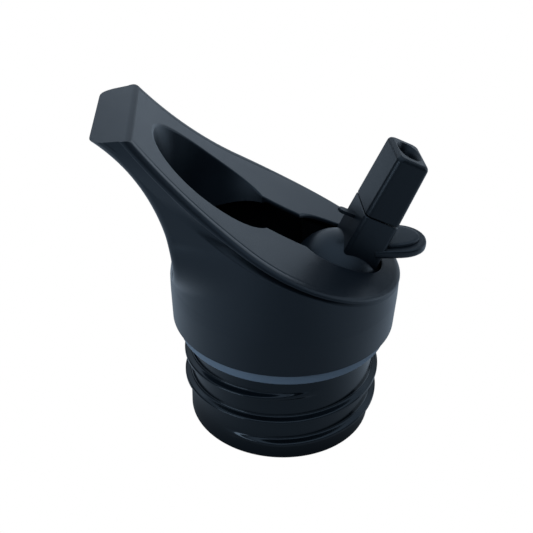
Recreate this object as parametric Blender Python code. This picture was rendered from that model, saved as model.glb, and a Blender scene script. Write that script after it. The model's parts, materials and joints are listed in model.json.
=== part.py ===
"""Screw-in sports bottle cap with a looped carry handle and a flip-up drinking spout.

Frame: +Z up along the screw axis, origin at the centre of the threaded plug's flat floor.
-X is the handle, +X is the front lip with the thumb paddle, and the spout turns about Y.
"""

import math

import bmesh
import bpy
from mathutils import Matrix, Vector

MM = 0.001
GAP = 0.3 * MM  # clearance between neighbouring pieces

# Body and handle
BODY_R = 27.0 * MM
BODY_FOOT_R = 26.65 * MM
BODY_FOOT_Z = 27.5 * MM
BODY_FULL_Z = 36.0 * MM  # above this the body has its full radius
WALL = 2.2 * MM
SKIN = 1.3 * MM  # thickness of the top over the chamber
TOP_ARC = (56.06 * MM, 153.81 * MM, 116.54 * MM)  # x, z and radius of the swooping top
SCOOP_ARC = (-62.1 * MM, 48.0 * MM, 36.3 * MM)  # x, z and radius of the hollow under the handle
TIP_Z = 79.1 * MM  # handle end face, at its upper edge
TIP_X = -33.4 * MM  # where the end face meets the top
TIP_SLOPE = 0.147
TIP_EDGE_W = 13.9 * MM  # half width of the end face at its lower edge
ARM_SWELL = 7.0 * MM  # how much wider the arm would be at its foot
ARM_RISE = 5  # how quickly the arm grows out of the body
RIM_R = 26.0 * MM
RIM_LINE = 0.42  # the rim's taper towards the handle
RIM_FLARE = (1.2 * MM, 23.4 * MM)  # how far it flares out again, and over what length
LIP_OUT = 1.1 * MM
CEILING = (54.4 * MM, 0.31)  # height on the axis and slope of the chamber's rear ceiling
FINGER_FLOOR_Z = 49.0 * MM

# Opening in the top: finger hole, spout channel, rotor mouth
HOLE = (-16.3 * MM, 13.0 * MM, 12.6 * MM, 2.3)  # centre x, half length, half width, exponent
MOUTH = (12.3 * MM, 11.2 * MM, 10.6 * MM, 2.6)
CHANNEL_W = 7.5 * MM

# Threaded plug
CORE_R = 22.6 * MM
CUP_R = 20.3 * MM
UPPER_CUP_R = 22.9 * MM  # clears the ball where it bulges over the cup's edge
STEP_Z = 28.2 * MM
FLOOR = 2.0 * MM
FLANGE_R = BODY_R - WALL - GAP
PLUG_TOP_Z = 31.0 * MM
THREAD_R = 24.1 * MM
THREAD_PITCH = 6.8 * MM
THREAD_START = (235.0, 4.6 * MM)  # azimuth in degrees and height of the first crest point
THREAD_TURNS = 2.1
THREAD_FOOT = 1.7 * MM  # half width of the ridge at its foot
THREAD_CREST = 0.7 * MM

# Gasket
GASKET_R = 25.3 * MM
GASKET_Z = (24.2 * MM, 27.2 * MM)

# Spout and its pivot
PIVOT = Vector((12.3 * MM, 0.0, 37.5 * MM))
BALL_R = 11.0 * MM
BALL_FLAT = 10.6 * MM
SWING_GAP = 0.48 * MM  # clearance cut for the ball inside the body
LEAN = math.radians(24.0)
NECK_W = 6.4 * MM
NECK_BACK = -3.45 * MM
NECK_FRONT = 4.3 * MM  # at the mouthpiece's end
NECK_TAPER = 0.058  # how fast the front face runs forward towards the ball
SEAM_S = 19.3 * MM  # distance from the pivot to the foot of the mouthpiece
STEM_S = 29.3 * MM
TIP_S = 34.7 * MM
STEM = (2.4 * MM, 4.4 * MM)
BORE = (1.6 * MM, 3.0 * MM)
PORT_R = 2.4 * MM
PADDLE_Z = 47.2 * MM
PADDLE_T = 2.1 * MM
PADDLE_W = 6.6 * MM
PADDLE_X = (20.0 * MM, 33.1 * MM)
PADDLE_BEND = 7.6 * MM  # length of the paddle's rounded end
PAD_ROOT_X = 23.4 * MM
PAD_INSET = 1.7 * MM
PAD_RISE = 0.7 * MM
TONGUE_S = 15.8 * MM
TONGUE = (4.2 * MM, 0.8 * MM, 2.0 * MM)  # length, thickness, width

# Cradle, pins, seat and vent
CHEEK_Y = (11.2 * MM, 15.0 * MM)
CHEEK_X = (5.3 * MM, 18.8 * MM)
CHEEK_DROP = 2.8 * MM  # how far the cheeks stay under the top surface
CRADLE_Z = (PLUG_TOP_Z + GAP, PLUG_TOP_Z + GAP + 2.0 * MM)
CRADLE_GATE_X = -3.0 * MM
CRADLE_WELL = (-9.0 * MM, 11.0 * MM)  # x and radius of the round opening behind the ball
PIN_R = 1.5 * MM
PIN_Y = (8.0 * MM, 14.8 * MM)
RISER_R = 6.6 * MM
RISER_TOP_Z = 27.2 * MM
POCKET_R = 5.9 * MM
POCKET_Z = 25.3 * MM
STRAW_R = 3.2 * MM
STRAW_DEPTH = 12.0 * MM
VENT_X = -11.0 * MM
VENT_HOLE_R = 1.6 * MM

BLACK = (0.013, 0.017, 0.023)


def clear_scene():
    for obj in list(bpy.data.objects):
        bpy.data.objects.remove(obj, do_unlink=True)


def material(name, colour, roughness):
    mat = bpy.data.materials.new(name)
    mat.use_nodes = True
    shader = mat.node_tree.nodes["Principled BSDF"]
    shader.inputs["Base Color"].default_value = (*colour, 1.0)
    shader.inputs["Roughness"].default_value = roughness
    shader.inputs["Metallic"].default_value = 0.0
    return mat


def add_object(name, verts, faces, mat=None, smooth_deg=35.0):
    """Makes one closed object from points and faces, with its faces pointing out."""
    mesh = bpy.data.meshes.new(name)
    mesh.from_pydata([tuple(v) for v in verts], [], faces)
    bm = bmesh.new()
    bm.from_mesh(mesh)
    bmesh.ops.remove_doubles(bm, verts=bm.verts, dist=1e-6)
    bmesh.ops.dissolve_degenerate(bm, edges=bm.edges, dist=1e-7)
    bmesh.ops.recalc_face_normals(bm, faces=bm.faces)
    if bm.calc_volume(signed=True) < 0:
        bmesh.ops.reverse_faces(bm, faces=bm.faces)
    bm.to_mesh(mesh)
    bm.free()
    mesh.shade_smooth()
    mesh.set_sharp_from_angle(angle=math.radians(smooth_deg))
    obj = bpy.data.objects.new(name, mesh)
    bpy.context.scene.collection.objects.link(obj)
    if mat:
        mesh.materials.append(mat)
    return obj


def boolean(target, tool, operation):
    """Cuts or joins with tool, and keeps tool only as a hidden wire."""
    tool.hide_render = True
    tool.display_type = "WIRE"
    mod = target.modifiers.new(tool.name, "BOOLEAN")
    mod.operation = operation
    mod.solver = "EXACT"
    mod.object = tool


def apply_modifiers(obj, smooth_deg=35.0):
    """Replaces obj's mesh with its evaluated one, and removes the tools it used."""
    tools = [mod.object for mod in obj.modifiers if mod.type == "BOOLEAN"]
    graph = bpy.context.evaluated_depsgraph_get()
    mesh = bpy.data.meshes.new_from_object(obj.evaluated_get(graph))
    obj.modifiers.clear()
    obj.data = mesh
    mesh.shade_smooth()
    mesh.set_sharp_from_angle(angle=math.radians(smooth_deg))
    for tool in tools:
        bpy.data.objects.remove(tool, do_unlink=True)
    return obj


def bridge(rings, cap_first=True, cap_last=True, wrap=False):
    """Joins rings of equal length into one skin of quads."""
    n = len(rings[0])
    verts = [p for ring in rings for p in ring]
    faces = []
    pairs = len(rings) if wrap else len(rings) - 1
    for k in range(pairs):
        a, b = k * n, ((k + 1) % len(rings)) * n
        faces += [(a + i, a + (i + 1) % n, b + (i + 1) % n, b + i) for i in range(n)]
    if cap_first and not wrap:
        faces.append(tuple(reversed(range(n))))
    if cap_last and not wrap:
        faces.append(tuple(range((len(rings) - 1) * n, len(rings) * n)))
    return verts, faces


def turned(name, profile, segments, mat=None, centre=(0.0, 0.0), hollow=True):
    """Turns a closed outline of (radius, z) points about a vertical axis at centre."""
    cx, cy = centre
    angles = [2 * math.pi * i / segments for i in range(segments)]
    rings = []
    for r, z in profile:
        rings.append([Vector((cx + r * math.cos(a), cy + r * math.sin(a), z)) for a in angles])
    return add_object(name, *bridge(rings, wrap=hollow), mat)


def strip_solid(name, xs, half_width, z_low, z_high, mat=None):
    """A block symmetric about y = 0, whose outline is half_width(x) between z_low(x) and z_high(x)."""
    rings = []
    for x in xs:
        w = max(half_width(x), 1e-5)
        low, high = z_low(x), z_high(x)
        corners = ((-w, low), (w, low), (w, high), (-w, high))
        rings.append([Vector((x, y, z)) for y, z in corners])
    return add_object(name, *bridge(rings), mat)


def ball(name, radius, flat, segments, mat=None):
    """A ball about the pivot with a flat on each side, turned about Y."""
    angles = [2 * math.pi * k / segments for k in range(segments)]
    rings = []
    for i in range(13):
        y = flat * math.sin(math.pi / 2 * (i / 6 - 1))
        r = math.sqrt(radius**2 - y * y)
        rings.append([PIVOT + Vector((r * math.cos(a), y, r * math.sin(a))) for a in angles])
    return add_object(name, *bridge(rings), mat)


def smoothstep(t):
    t = min(max(t, 0.0), 1.0)
    return t * t * (3.0 - 2.0 * t)


def spaced(low, high, count):
    """Positions from low to high, crowded towards both ends."""
    return [low + (high - low) * (1 - math.cos(math.pi * i / count)) / 2 for i in range(count + 1)]


def superellipse(x, centre, half_length, half_width, power):
    s = abs(x - centre) / half_length
    return half_width * (1.0 - s**power) ** (1.0 / power) if s < 1.0 else 0.0


# Body and handle surfaces


def top_z(x):
    """Height of the top surface, which swoops from the front lip up to the handle's end."""
    cx, cz, r = TOP_ARC
    return cz - math.sqrt(r * r - (x - cx) ** 2)


def tip_z(x):
    """Height of the handle's nearly level end face."""
    return TIP_Z + TIP_SLOPE * (x - TIP_X)


def scoop_x(z):
    """X of the hollowed underside of the handle at a height."""
    cx, cz, r = SCOOP_ARC
    return cx + math.sqrt(max(r * r - (z - cz) ** 2, 0.0))


def body_r(z):
    t = (z - BODY_FOOT_Z) / (BODY_FULL_Z - BODY_FOOT_Z)
    return BODY_FOOT_R + (BODY_R - BODY_FOOT_R) * min(max(t, 0.0), 1.0)


def bisect(fn, low, high):
    """The root of fn between low and high, where its sign changes."""
    sign = fn(low) > 0
    for _ in range(60):
        mid = (low + high) / 2
        if (fn(mid) > 0) == sign:
            low = mid
        else:
            high = mid
    return (low + high) / 2


SCOOP_FOOT_Z = bisect(lambda z: scoop_x(z) + BODY_R, 36.0 * MM, 48.0 * MM)
TIP_LOW_Z = bisect(lambda z: z - tip_z(scoop_x(z)), 70.0 * MM, 80.0 * MM)


def arm_corner(z):
    """The (x, y) of the lower outer edge of the handle's arm at a height."""
    if z <= SCOOP_FOOT_Z:
        return -body_r(z), 0.0
    x = scoop_x(z)
    t = min((z - SCOOP_FOOT_Z) / (TIP_LOW_Z - SCOOP_FOOT_Z), 1.0)
    swell = (TIP_EDGE_W + ARM_SWELL * (1.0 - t)) * (1.0 - (1.0 - t) ** ARM_RISE)
    on_body = math.sqrt(max(BODY_R**2 - x * x, 0.0))
    return x, math.hypot(on_body, swell)


def wall_point(f, z):
    """A point on the half outline at a height; f runs from the front (0) to the arm's corner (1)."""
    r = body_r(z)
    px, py = arm_corner(z)
    dist = math.hypot(px, py)
    touch = math.atan2(py, px) - math.acos(min(r / dist, 1.0))
    arc = r * touch
    line = math.sqrt(max(dist * dist - r * r, 0.0))
    run = f * (arc + line)
    if run <= arc:
        return Vector((r * math.cos(run / r), r * math.sin(run / r), z))
    k = (run - arc) / line
    tx, ty = r * math.cos(touch), r * math.sin(touch)
    return Vector((tx + (px - tx) * k, ty + (py - ty) * k, z))


def handle_share(x):
    """0 at the front and 1 on the handle."""
    return smoothstep((5.0 * MM - x) / (32.0 * MM))


def lip_drop(x):
    return (0.75 + 1.6 * handle_share(x)) * MM


def band_drop(x):
    return (2.0 + 2.5 * handle_share(x)) * MM


def rim_w(x, out=0.0):
    """Half width of the rim outline at x, moved outwards by out."""
    r = RIM_R + out
    tangent = math.atan(RIM_LINE)
    x0, y0 = -r * math.sin(tangent), r * math.cos(tangent)
    if x >= x0:
        return math.sqrt(max(r * r - x * x, 0.0))
    flare, length = RIM_FLARE
    return y0 - RIM_LINE * (x0 - x) + flare * ((x0 - x) / length) ** 2


def rim_half(drop, out, count):
    """count + 1 points along half of a rim outline, evenly spaced from the front to the end face."""
    x_end = bisect(lambda x: top_z(x) - drop(x) - tip_z(x), -45.0 * MM, -25.0 * MM)
    xs = spaced(x_end, RIM_R + out, 400)[::-1]
    fine = [Vector((x, rim_w(x, out), top_z(x) - drop(x))) for x in xs]
    runs = [0.0]
    for a, b in zip(fine, fine[1:]):
        runs.append(runs[-1] + (b.xy - a.xy).length)
    points, k = [], 0
    for i in range(count + 1):
        want = runs[-1] * i / count
        while k < len(runs) - 2 and runs[k + 1] < want:
            k += 1
        t = (want - runs[k]) / (runs[k + 1] - runs[k])
        points.append(fine[k].lerp(fine[k + 1], min(t, 1.0)))
    return points


def wall_edge_z(x):
    """Height of the wall's upper edge, under the rim's undercut or at the end face."""
    return min(top_z(x) - band_drop(x), tip_z(x))


def wall_edge_share(x):
    """The f whose column meets the wall's upper edge at x."""
    z = wall_edge_z(x)
    return bisect(lambda f: wall_point(f, z).x - x, 0.0, 1.0)


def shell_outside(mat, along=44, end=4, up=9):
    """The shell's outer form as a solid block: wall, rim lip, top, scoop and end face."""
    x_end = bisect(lambda x: top_z(x) - band_drop(x) - tip_z(x), -45.0 * MM, -25.0 * MM)
    x_tip = arm_corner(TIP_LOW_Z)[0]
    lip = rim_half(lip_drop, LIP_OUT, along)
    ratio = (BODY_R - x_end) / (lip[0].x - lip[-1].x)
    xs = [BODY_R - ratio * (lip[0].x - p.x) for p in lip]
    xs += [x_end + (x_tip - x_end) * i / end for i in range(1, end + 1)]
    common = [BODY_FOOT_Z, 31.5 * MM, BODY_FULL_Z]
    columns = []
    for k, x in enumerate(xs):
        f = 0.0 if k == 0 else 1.0 if k == along + end else wall_edge_share(x)
        top = wall_edge_z(x)
        heights = common + [BODY_FULL_Z + (top - BODY_FULL_Z) * j / up for j in range(1, up + 1)]
        columns.append([wall_point(f, z) for z in heights])
    rim = rim_half(lambda x: 0.0, 0.0, along)
    verts, faces = [], []

    def quads(grid, flip):
        base = len(verts)
        rows, cols = len(grid), len(grid[0])
        verts.extend(p for row in grid for p in row)
        for i in range(rows - 1):
            for j in range(cols - 1):
                a = base + i * cols + j
                quad = (a, a + cols, a + cols + 1, a + 1)
                faces.append(quad[::-1] if flip else quad)

    def mirror(grid):
        return [[Vector((p.x, -p.y, p.z)) for p in row] for row in grid]

    bands = [[columns[i][-1], lip[i], rim[i]] for i in range(along + 1)]
    for grid in (columns, bands):
        quads(grid, False)
        quads(mirror(grid), True)
    quads([[p, Vector((p.x, -p.y, p.z))] for p in rim], False)
    quads([[p, Vector((p.x, -p.y, p.z))] for p in columns[-1]], True)
    foot = [c[0] for c in columns]
    quads([[p, Vector((p.x, -p.y, p.z))] for p in foot], True)
    edge = [c[-1] for c in columns[along:]]
    face = [rim[-1], lip[-1]] + edge
    quads([[p, Vector((p.x, -p.y, p.z))] for p in face], False)
    return add_object("cap_shell", verts, faces, mat, 28.0)


def opening_w(x):
    """Half width of the opening in the top: finger hole, narrow channel, rotor mouth."""
    channel = CHANNEL_W if HOLE[0] < x < MOUTH[0] else 0.0
    return max(superellipse(x, *HOLE), superellipse(x, *MOUTH), channel)


def opening_floor_z(x):
    """The finger hole's floor, and a level below the chamber's ceiling under the rotor's mouth."""
    return FINGER_FLOOR_Z if x < MOUTH[0] - 9.2 * MM else BODY_FULL_Z


def ceiling_z(x):
    return min(top_z(x) - SKIN, CEILING[0] + CEILING[1] * x)


def build_cap_shell(mat):
    shell = shell_outside(mat)
    chamber_r = BODY_R - WALL
    chamber = strip_solid(
        "chamber_tool",
        spaced(-chamber_r, chamber_r, 40),
        lambda x: math.sqrt(max(chamber_r**2 - x * x, 0.0)),
        lambda x: BODY_FOOT_Z - 5.0 * MM,
        ceiling_z,
    )
    rear, front = HOLE[0] - HOLE[1], MOUTH[0] + MOUTH[1]
    xs = spaced(rear, HOLE[0] + 11.2 * MM, 22) + spaced(MOUTH[0] - 9.1 * MM, front, 20)
    opening = strip_solid("opening_tool", xs, opening_w, opening_floor_z, lambda x: top_z(x) + 5.0 * MM)
    boolean(shell, chamber, "DIFFERENCE")
    boolean(shell, opening, "DIFFERENCE")
    boolean(shell, ball("swing_tool", BALL_R + SWING_GAP, BALL_FLAT, 36), "DIFFERENCE")
    return apply_modifiers(shell, 28.0)


# Threaded plug


def thread_ridge():
    """A helical ridge with a flat crest, sunk into the core and tapering away at both ends."""
    steps = 96
    rings = []
    for i in range(steps + 1):
        turn = THREAD_TURNS * i / steps
        angle = math.radians(THREAD_START[0]) + 2 * math.pi * turn
        grow = smoothstep(min(i, steps - i) / 7.0)
        crest = CORE_R + (THREAD_R - CORE_R) * (0.03 + 0.97 * grow)
        z = THREAD_START[1] + THREAD_PITCH * turn
        half = THREAD_FOOT * (0.35 + 0.65 * grow)
        tip = THREAD_CREST * (0.35 + 0.65 * grow)
        root = CORE_R - 0.6 * MM
        section = [(root, -half), (crest, -tip), (crest, tip), (root, half)]
        rings.append([Vector((r * math.cos(angle), r * math.sin(angle), z + dz)) for r, dz in section])
    verts, faces = bridge(rings)
    return add_object("ridge_tool", verts, faces)


def build_thread_plug(mat):
    """Open cup with a closed floor, a riser to the ball's seat, and a flange under the shell."""
    bevel = 0.8 * MM
    outline = [
        (0.0, 0.0), (CORE_R - bevel, 0.0), (CORE_R, bevel),
        (CORE_R, BODY_FOOT_Z), (FLANGE_R, BODY_FOOT_Z),
        (FLANGE_R, PLUG_TOP_Z), (UPPER_CUP_R, PLUG_TOP_Z), (UPPER_CUP_R, STEP_Z), (CUP_R, STEP_Z),
        (CUP_R, FLOOR), (0.0, FLOOR),
    ]
    plug = turned("thread_plug", outline, 64, mat, hollow=False)
    pivot_xy = (PIVOT.x, PIVOT.y)
    boolean(plug, thread_ridge(), "UNION")
    riser = [(0.0, FLOOR / 2), (RISER_R, FLOOR / 2), (RISER_R, RISER_TOP_Z), (0.0, RISER_TOP_Z)]
    boolean(plug, turned("riser_tool", riser, 32, None, pivot_xy, False), "UNION")
    low = -1.0 * MM
    bore = [
        (0.0, low), (STRAW_R, low), (STRAW_R, STRAW_DEPTH), (PORT_R, STRAW_DEPTH), (PORT_R, POCKET_Z),
        (POCKET_R, POCKET_Z), (POCKET_R, RISER_TOP_Z + 1.0 * MM), (0.0, RISER_TOP_Z + 1.0 * MM),
    ]
    boolean(plug, turned("bore_tool", bore, 32, None, pivot_xy, False), "DIFFERENCE")
    vent = [(0.0, low), (VENT_HOLE_R, low), (VENT_HOLE_R, FLOOR + 1.0 * MM), (0.0, FLOOR + 1.0 * MM)]
    boolean(plug, turned("vent_tool", vent, 16, None, (VENT_X, 0.0), False), "DIFFERENCE")
    return apply_modifiers(plug)


def build_gasket(mat):
    low, high = GASKET_Z
    inner = CORE_R + GAP
    edge = 0.7 * MM
    outline = [
        (inner, low), (GASKET_R - edge, low), (GASKET_R, low + edge), (GASKET_R, high - edge),
        (GASKET_R - edge, high), (inner, high),
    ]
    return turned("bottle_gasket", outline, 64, mat)


# Spout


def spout_point(s, forward, y):
    """A point at a distance s along the leaning spout, forward of its axis and sideways by y."""
    along = Vector((math.sin(LEAN), 0.0, math.cos(LEAN)))
    ahead = Vector((math.cos(LEAN), 0.0, -math.sin(LEAN)))
    return PIVOT + along * s + ahead * forward + Vector((0.0, y, 0.0))


def neck_front(s):
    """How far the neck's front face lies ahead of its axis."""
    return NECK_FRONT + NECK_TAPER * (TIP_S - s)


def rounded_box_ring(s, back, front, half, radius, per_corner=3):
    """A rounded rectangle across the spout at a distance s."""
    centres = [(front - radius, half - radius), (back + radius, half - radius),
               (back + radius, radius - half), (front - radius, radius - half)]
    ring = []
    for quarter, (cx, cy) in enumerate(centres):
        for i in range(per_corner + 1):
            a = math.pi / 2 * (quarter + i / per_corner)
            ring.append(spout_point(s, cx + radius * math.cos(a), cy + radius * math.sin(a)))
    return ring


def oval_ring(s, half_forward, half_side, centre=0.0, count=20):
    angles = [2 * math.pi * i / count for i in range(count)]
    return [spout_point(s, centre + half_forward * math.cos(a), half_side * math.sin(a)) for a in angles]


def paddle_outline(grow=0.0, z=PADDLE_Z, x_root=PADDLE_X[0]):
    """The paddle's rounded plan outline at a height, shrunk where grow is negative."""
    half = PADDLE_W + grow
    tip = PADDLE_X[1] + grow
    points = [Vector((x_root, -half, z))]
    for i in range(15):
        a = math.pi * (i / 14 - 0.5)
        x = tip - PADDLE_BEND + PADDLE_BEND * max(math.cos(a), 0.0) ** 0.8
        points.append(Vector((x, half * math.sin(a), z)))
    points.append(Vector((x_root, half, z)))
    return points


def build_spout_rotor(mat):
    """Ball, square neck, stem for the mouthpiece, thumb paddle and latch tongue in one moulding."""
    rotor = ball("spout_rotor", BALL_R, BALL_FLAT, 36, mat)
    boolean(rotor, neck_tool(), "UNION")
    boolean(rotor, stem_tool(), "UNION")
    boolean(rotor, plate_tool(), "UNION")
    boolean(rotor, tongue_tool(), "UNION")
    cut_rotor_bores(rotor)
    return apply_modifiers(rotor)


def neck_tool():
    stations = (2.0 * MM, SEAM_S - GAP)
    rings = [rounded_box_ring(s, NECK_BACK, neck_front(s), NECK_W, 1.0 * MM) for s in stations]
    return add_object("neck_tool", *bridge(rings))


def stem_tool():
    forward, side = STEM
    stations = (SEAM_S - 3.0 * MM, STEM_S)
    rings = [rounded_box_ring(s, -forward, forward, side, 2.0 * MM) for s in stations]
    return add_object("stem_tool", *bridge(rings))


def plate_tool():
    under = PADDLE_Z - PADDLE_T
    levels = (
        (-0.5 * MM, under),
        (0.0, under + 0.5 * MM),
        (0.0, PADDLE_Z - 0.4 * MM),
        (-0.4 * MM, PADDLE_Z),
    )
    return add_object("plate_tool", *bridge([paddle_outline(grow, z) for grow, z in levels]))


def tongue_tool():
    length, thick, wide = TONGUE
    rear, front = NECK_BACK - length, NECK_BACK + 1.0 * MM
    corners = ((rear, -wide / 2), (front, -wide / 2), (front, wide / 2), (rear, wide / 2))
    rings = []
    for s in (TONGUE_S - thick / 2, TONGUE_S + thick / 2):
        rings.append([spout_point(s, forward, y) for forward, y in corners])
    return add_object("tongue_tool", *bridge(rings))


def cut_rotor_bores(rotor):
    """The drinking bore, its port through the ball's underside, and a blind hole for each pin."""
    bore = [oval_ring(s, *BORE) for s in (-0.5 * MM, STEM_S + 1.0 * MM)]
    boolean(rotor, add_object("drink_tool", *bridge(bore)), "DIFFERENCE")
    low = PIVOT.z - BALL_R - 1.0 * MM
    port = [(0.0, low), (PORT_R, low), (PORT_R, PIVOT.z), (0.0, PIVOT.z)]
    boolean(rotor, turned("port_tool", port, 20, None, (PIVOT.x, PIVOT.y), False), "DIFFERENCE")
    for side in (-1, 1):
        stations = ((PIN_R + GAP, PIN_Y[0] - GAP), (PIN_R + GAP, CHEEK_Y[1] + 1.0 * MM))
        boolean(rotor, pin_bar("pin_hole_tool", stations, side), "DIFFERENCE")


def pin_bar(name, stations, side, mat=None):
    """A round bar on the pivot axis through (radius, y) stations, on one side of the ball."""
    angles = [2 * math.pi * i / 24 for i in range(24)]
    rings = []
    for r, y in stations:
        rings.append([PIVOT + Vector((r * math.cos(a), side * y, r * math.sin(a))) for a in angles])
    return add_object(name, *bridge(rings), mat)


def build_pin(name, side, mat):
    """Steel pin with chamfered ends."""
    inner, outer = PIN_Y
    chamfer = 0.2 * MM
    stations = (
        (PIN_R - chamfer, inner),
        (PIN_R, inner + chamfer),
        (PIN_R, outer - chamfer),
        (PIN_R - chamfer, outer),
    )
    return pin_bar(name, stations, side, mat)


def build_mouthpiece(mat):
    """Soft sleeve over the stem with an oval drinking hole that opens out like a funnel."""
    body = []
    for s, inset in (
        (SEAM_S, 0.0),
        (TIP_S - 0.9 * MM, 0.0),
        (TIP_S - 0.3 * MM, 0.3 * MM),
        (TIP_S, 0.9 * MM),
    ):
        back, front = NECK_BACK + inset, neck_front(s) - inset
        body.append(rounded_box_ring(s, back, front, NECK_W - inset, 1.2 * MM, 4))
    piece = add_object("mouthpiece", *bridge(body), mat)
    forward, side = STEM[0] + GAP, STEM[1] + GAP
    stations = (SEAM_S - 1.0 * MM, STEM_S + GAP)
    socket = [rounded_box_ring(s, -forward, forward, side, 2.0 * MM) for s in stations]
    boolean(piece, add_object("socket_tool", *bridge(socket)), "DIFFERENCE")
    boolean(piece, funnel_tool(), "DIFFERENCE")
    return apply_modifiers(piece)


def funnel_tool():
    centre = (NECK_BACK + NECK_FRONT) / 2
    rings = []
    for s, half_forward, half_side in (
        (STEM_S - 1.0 * MM, 1.7 * MM, 2.8 * MM),
        (TIP_S - 2.2 * MM, 1.7 * MM, 2.8 * MM),
        (TIP_S - 0.8 * MM, 2.1 * MM, 3.5 * MM),
        (TIP_S + 0.4 * MM, 2.9 * MM, 4.7 * MM),
    ):
        rings.append(oval_ring(s, half_forward, half_side, centre))
    return add_object("funnel_tool", *bridge(rings))


def build_thumb_pad(mat):
    """Soft oval pad that lies on the paddle."""
    z = PADDLE_Z + GAP
    rings = [
        paddle_outline(-PAD_INSET, z, PAD_ROOT_X),
        paddle_outline(-PAD_INSET, z + 0.6 * PAD_RISE, PAD_ROOT_X),
        paddle_outline(-PAD_INSET - 0.4 * MM, z + PAD_RISE, PAD_ROOT_X + 0.4 * MM),
    ]
    return add_object("thumb_pad", *bridge(rings), mat)


# Cradle, pins, seat and vent


def build_cradle(mat):
    """Horseshoe on the plug's rim with two cheeks that carry the pivot pins."""
    low, high = CRADLE_Z
    outer = FLANGE_R - 0.1 * MM
    hub = [(0.0, low), (outer, low), (outer, high), (0.0, high)]
    cradle = turned("rotor_cradle", hub, 64, mat, hollow=False)
    gate_w = CHEEK_Y[0]
    gate = strip_solid("gate_tool", [CRADLE_GATE_X, 30.0 * MM], lambda x: gate_w,
                       lambda x: low - 1.0 * MM, lambda x: high + 1.0 * MM)
    boolean(cradle, gate, "DIFFERENCE")
    well_x, well_r = CRADLE_WELL
    well = [(0.0, low - MM), (well_r, low - MM), (well_r, high + MM), (0.0, high + MM)]
    boolean(cradle, turned("well_tool", well, 32, None, (well_x, 0.0), False), "DIFFERENCE")
    for side in (-1, 1):
        boolean(cradle, cheek_tool(side), "UNION")
        stations = ((PIN_R + GAP, CHEEK_Y[0] - 1.0 * MM), (PIN_R + GAP, CHEEK_Y[1] + 1.0 * MM))
        boolean(cradle, pin_bar("axle_tool", stations, side), "DIFFERENCE")
    return apply_modifiers(cradle)


def cheek_tool(side):
    foot = CRADLE_Z[0] + 0.5 * MM
    near, far = side * CHEEK_Y[0], side * CHEEK_Y[1]
    rings = []
    for x in (CHEEK_X[0], PIVOT.x, CHEEK_X[1]):
        top = top_z(x) - CHEEK_DROP
        rings.append([Vector((x, y, z)) for y, z in ((near, foot), (far, foot), (far, top), (near, top))])
    return add_object("cheek_tool", *bridge(rings))


def build_seat_seal(mat):
    """Silicone ring whose top is hollowed to the ball."""
    low = POCKET_Z + GAP
    outer, inner = POCKET_R - GAP, 3.0 * MM
    clear_r = BALL_R + GAP
    radii = [inner + (outer - inner) * i / 4 for i in range(5)]
    outline = [(inner, low), (outer, low)]
    outline += [(r, PIVOT.z - math.sqrt(clear_r**2 - r * r)) for r in reversed(radii)]
    return turned("seat_seal", outline, 32, mat, (PIVOT.x, PIVOT.y))


def build_vent_valve(mat):
    """Umbrella valve: a stalk through the floor's vent hole with a soft cap above and below."""
    stalk, cap_r = VENT_HOLE_R - GAP, 4.2 * MM
    outline = [
        (0.0, 0.1 * MM), (0.9 * MM, 0.1 * MM), (stalk, 0.5 * MM), (stalk, FLOOR + GAP),
        (cap_r, FLOOR + GAP), (cap_r, FLOOR + 0.8 * MM), (2.0 * MM, FLOOR + 1.7 * MM), (0.0, FLOOR + 1.9 * MM),
    ]
    return turned("vent_valve", outline, 24, mat, (VENT_X, 0.0), False)


def put_origin(obj, place):
    """Moves obj's origin to place and leaves its shape where it is."""
    obj.data.transform(Matrix.Translation(-place))
    obj.location = place


def main():
    clear_scene()
    shell_mat = material("shell_matte_black", BLACK, 0.5)
    plug_mat = material("plug_gloss_black", (0.009, 0.012, 0.015), 0.18)
    soft_mat = material("silicone_black", (0.02, 0.025, 0.032), 0.6)
    gasket_mat = material("gasket_blue_grey", (0.06, 0.09, 0.13), 0.55)
    steel_mat = material("pin_steel", (0.55, 0.55, 0.56), 0.3)
    build_cap_shell(shell_mat)
    build_thread_plug(plug_mat)
    build_gasket(gasket_mat)
    build_cradle(shell_mat)
    rotor = build_spout_rotor(shell_mat)
    moving = [rotor, build_mouthpiece(soft_mat), build_thumb_pad(soft_mat)]
    for obj in moving:
        put_origin(obj, PIVOT)
    for name, side in (("pivot_pin_near", -1), ("pivot_pin_far", 1)):
        build_pin(name, side, steel_mat)
    build_seat_seal(soft_mat)
    build_vent_valve(soft_mat)


main()
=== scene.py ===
"""Looks of the screw-in sports bottle cap: fine mouldings, soft parts, finishes, light and camera."""

import json
import math

import bmesh
import bpy
from mathutils import Matrix, Vector


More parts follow.
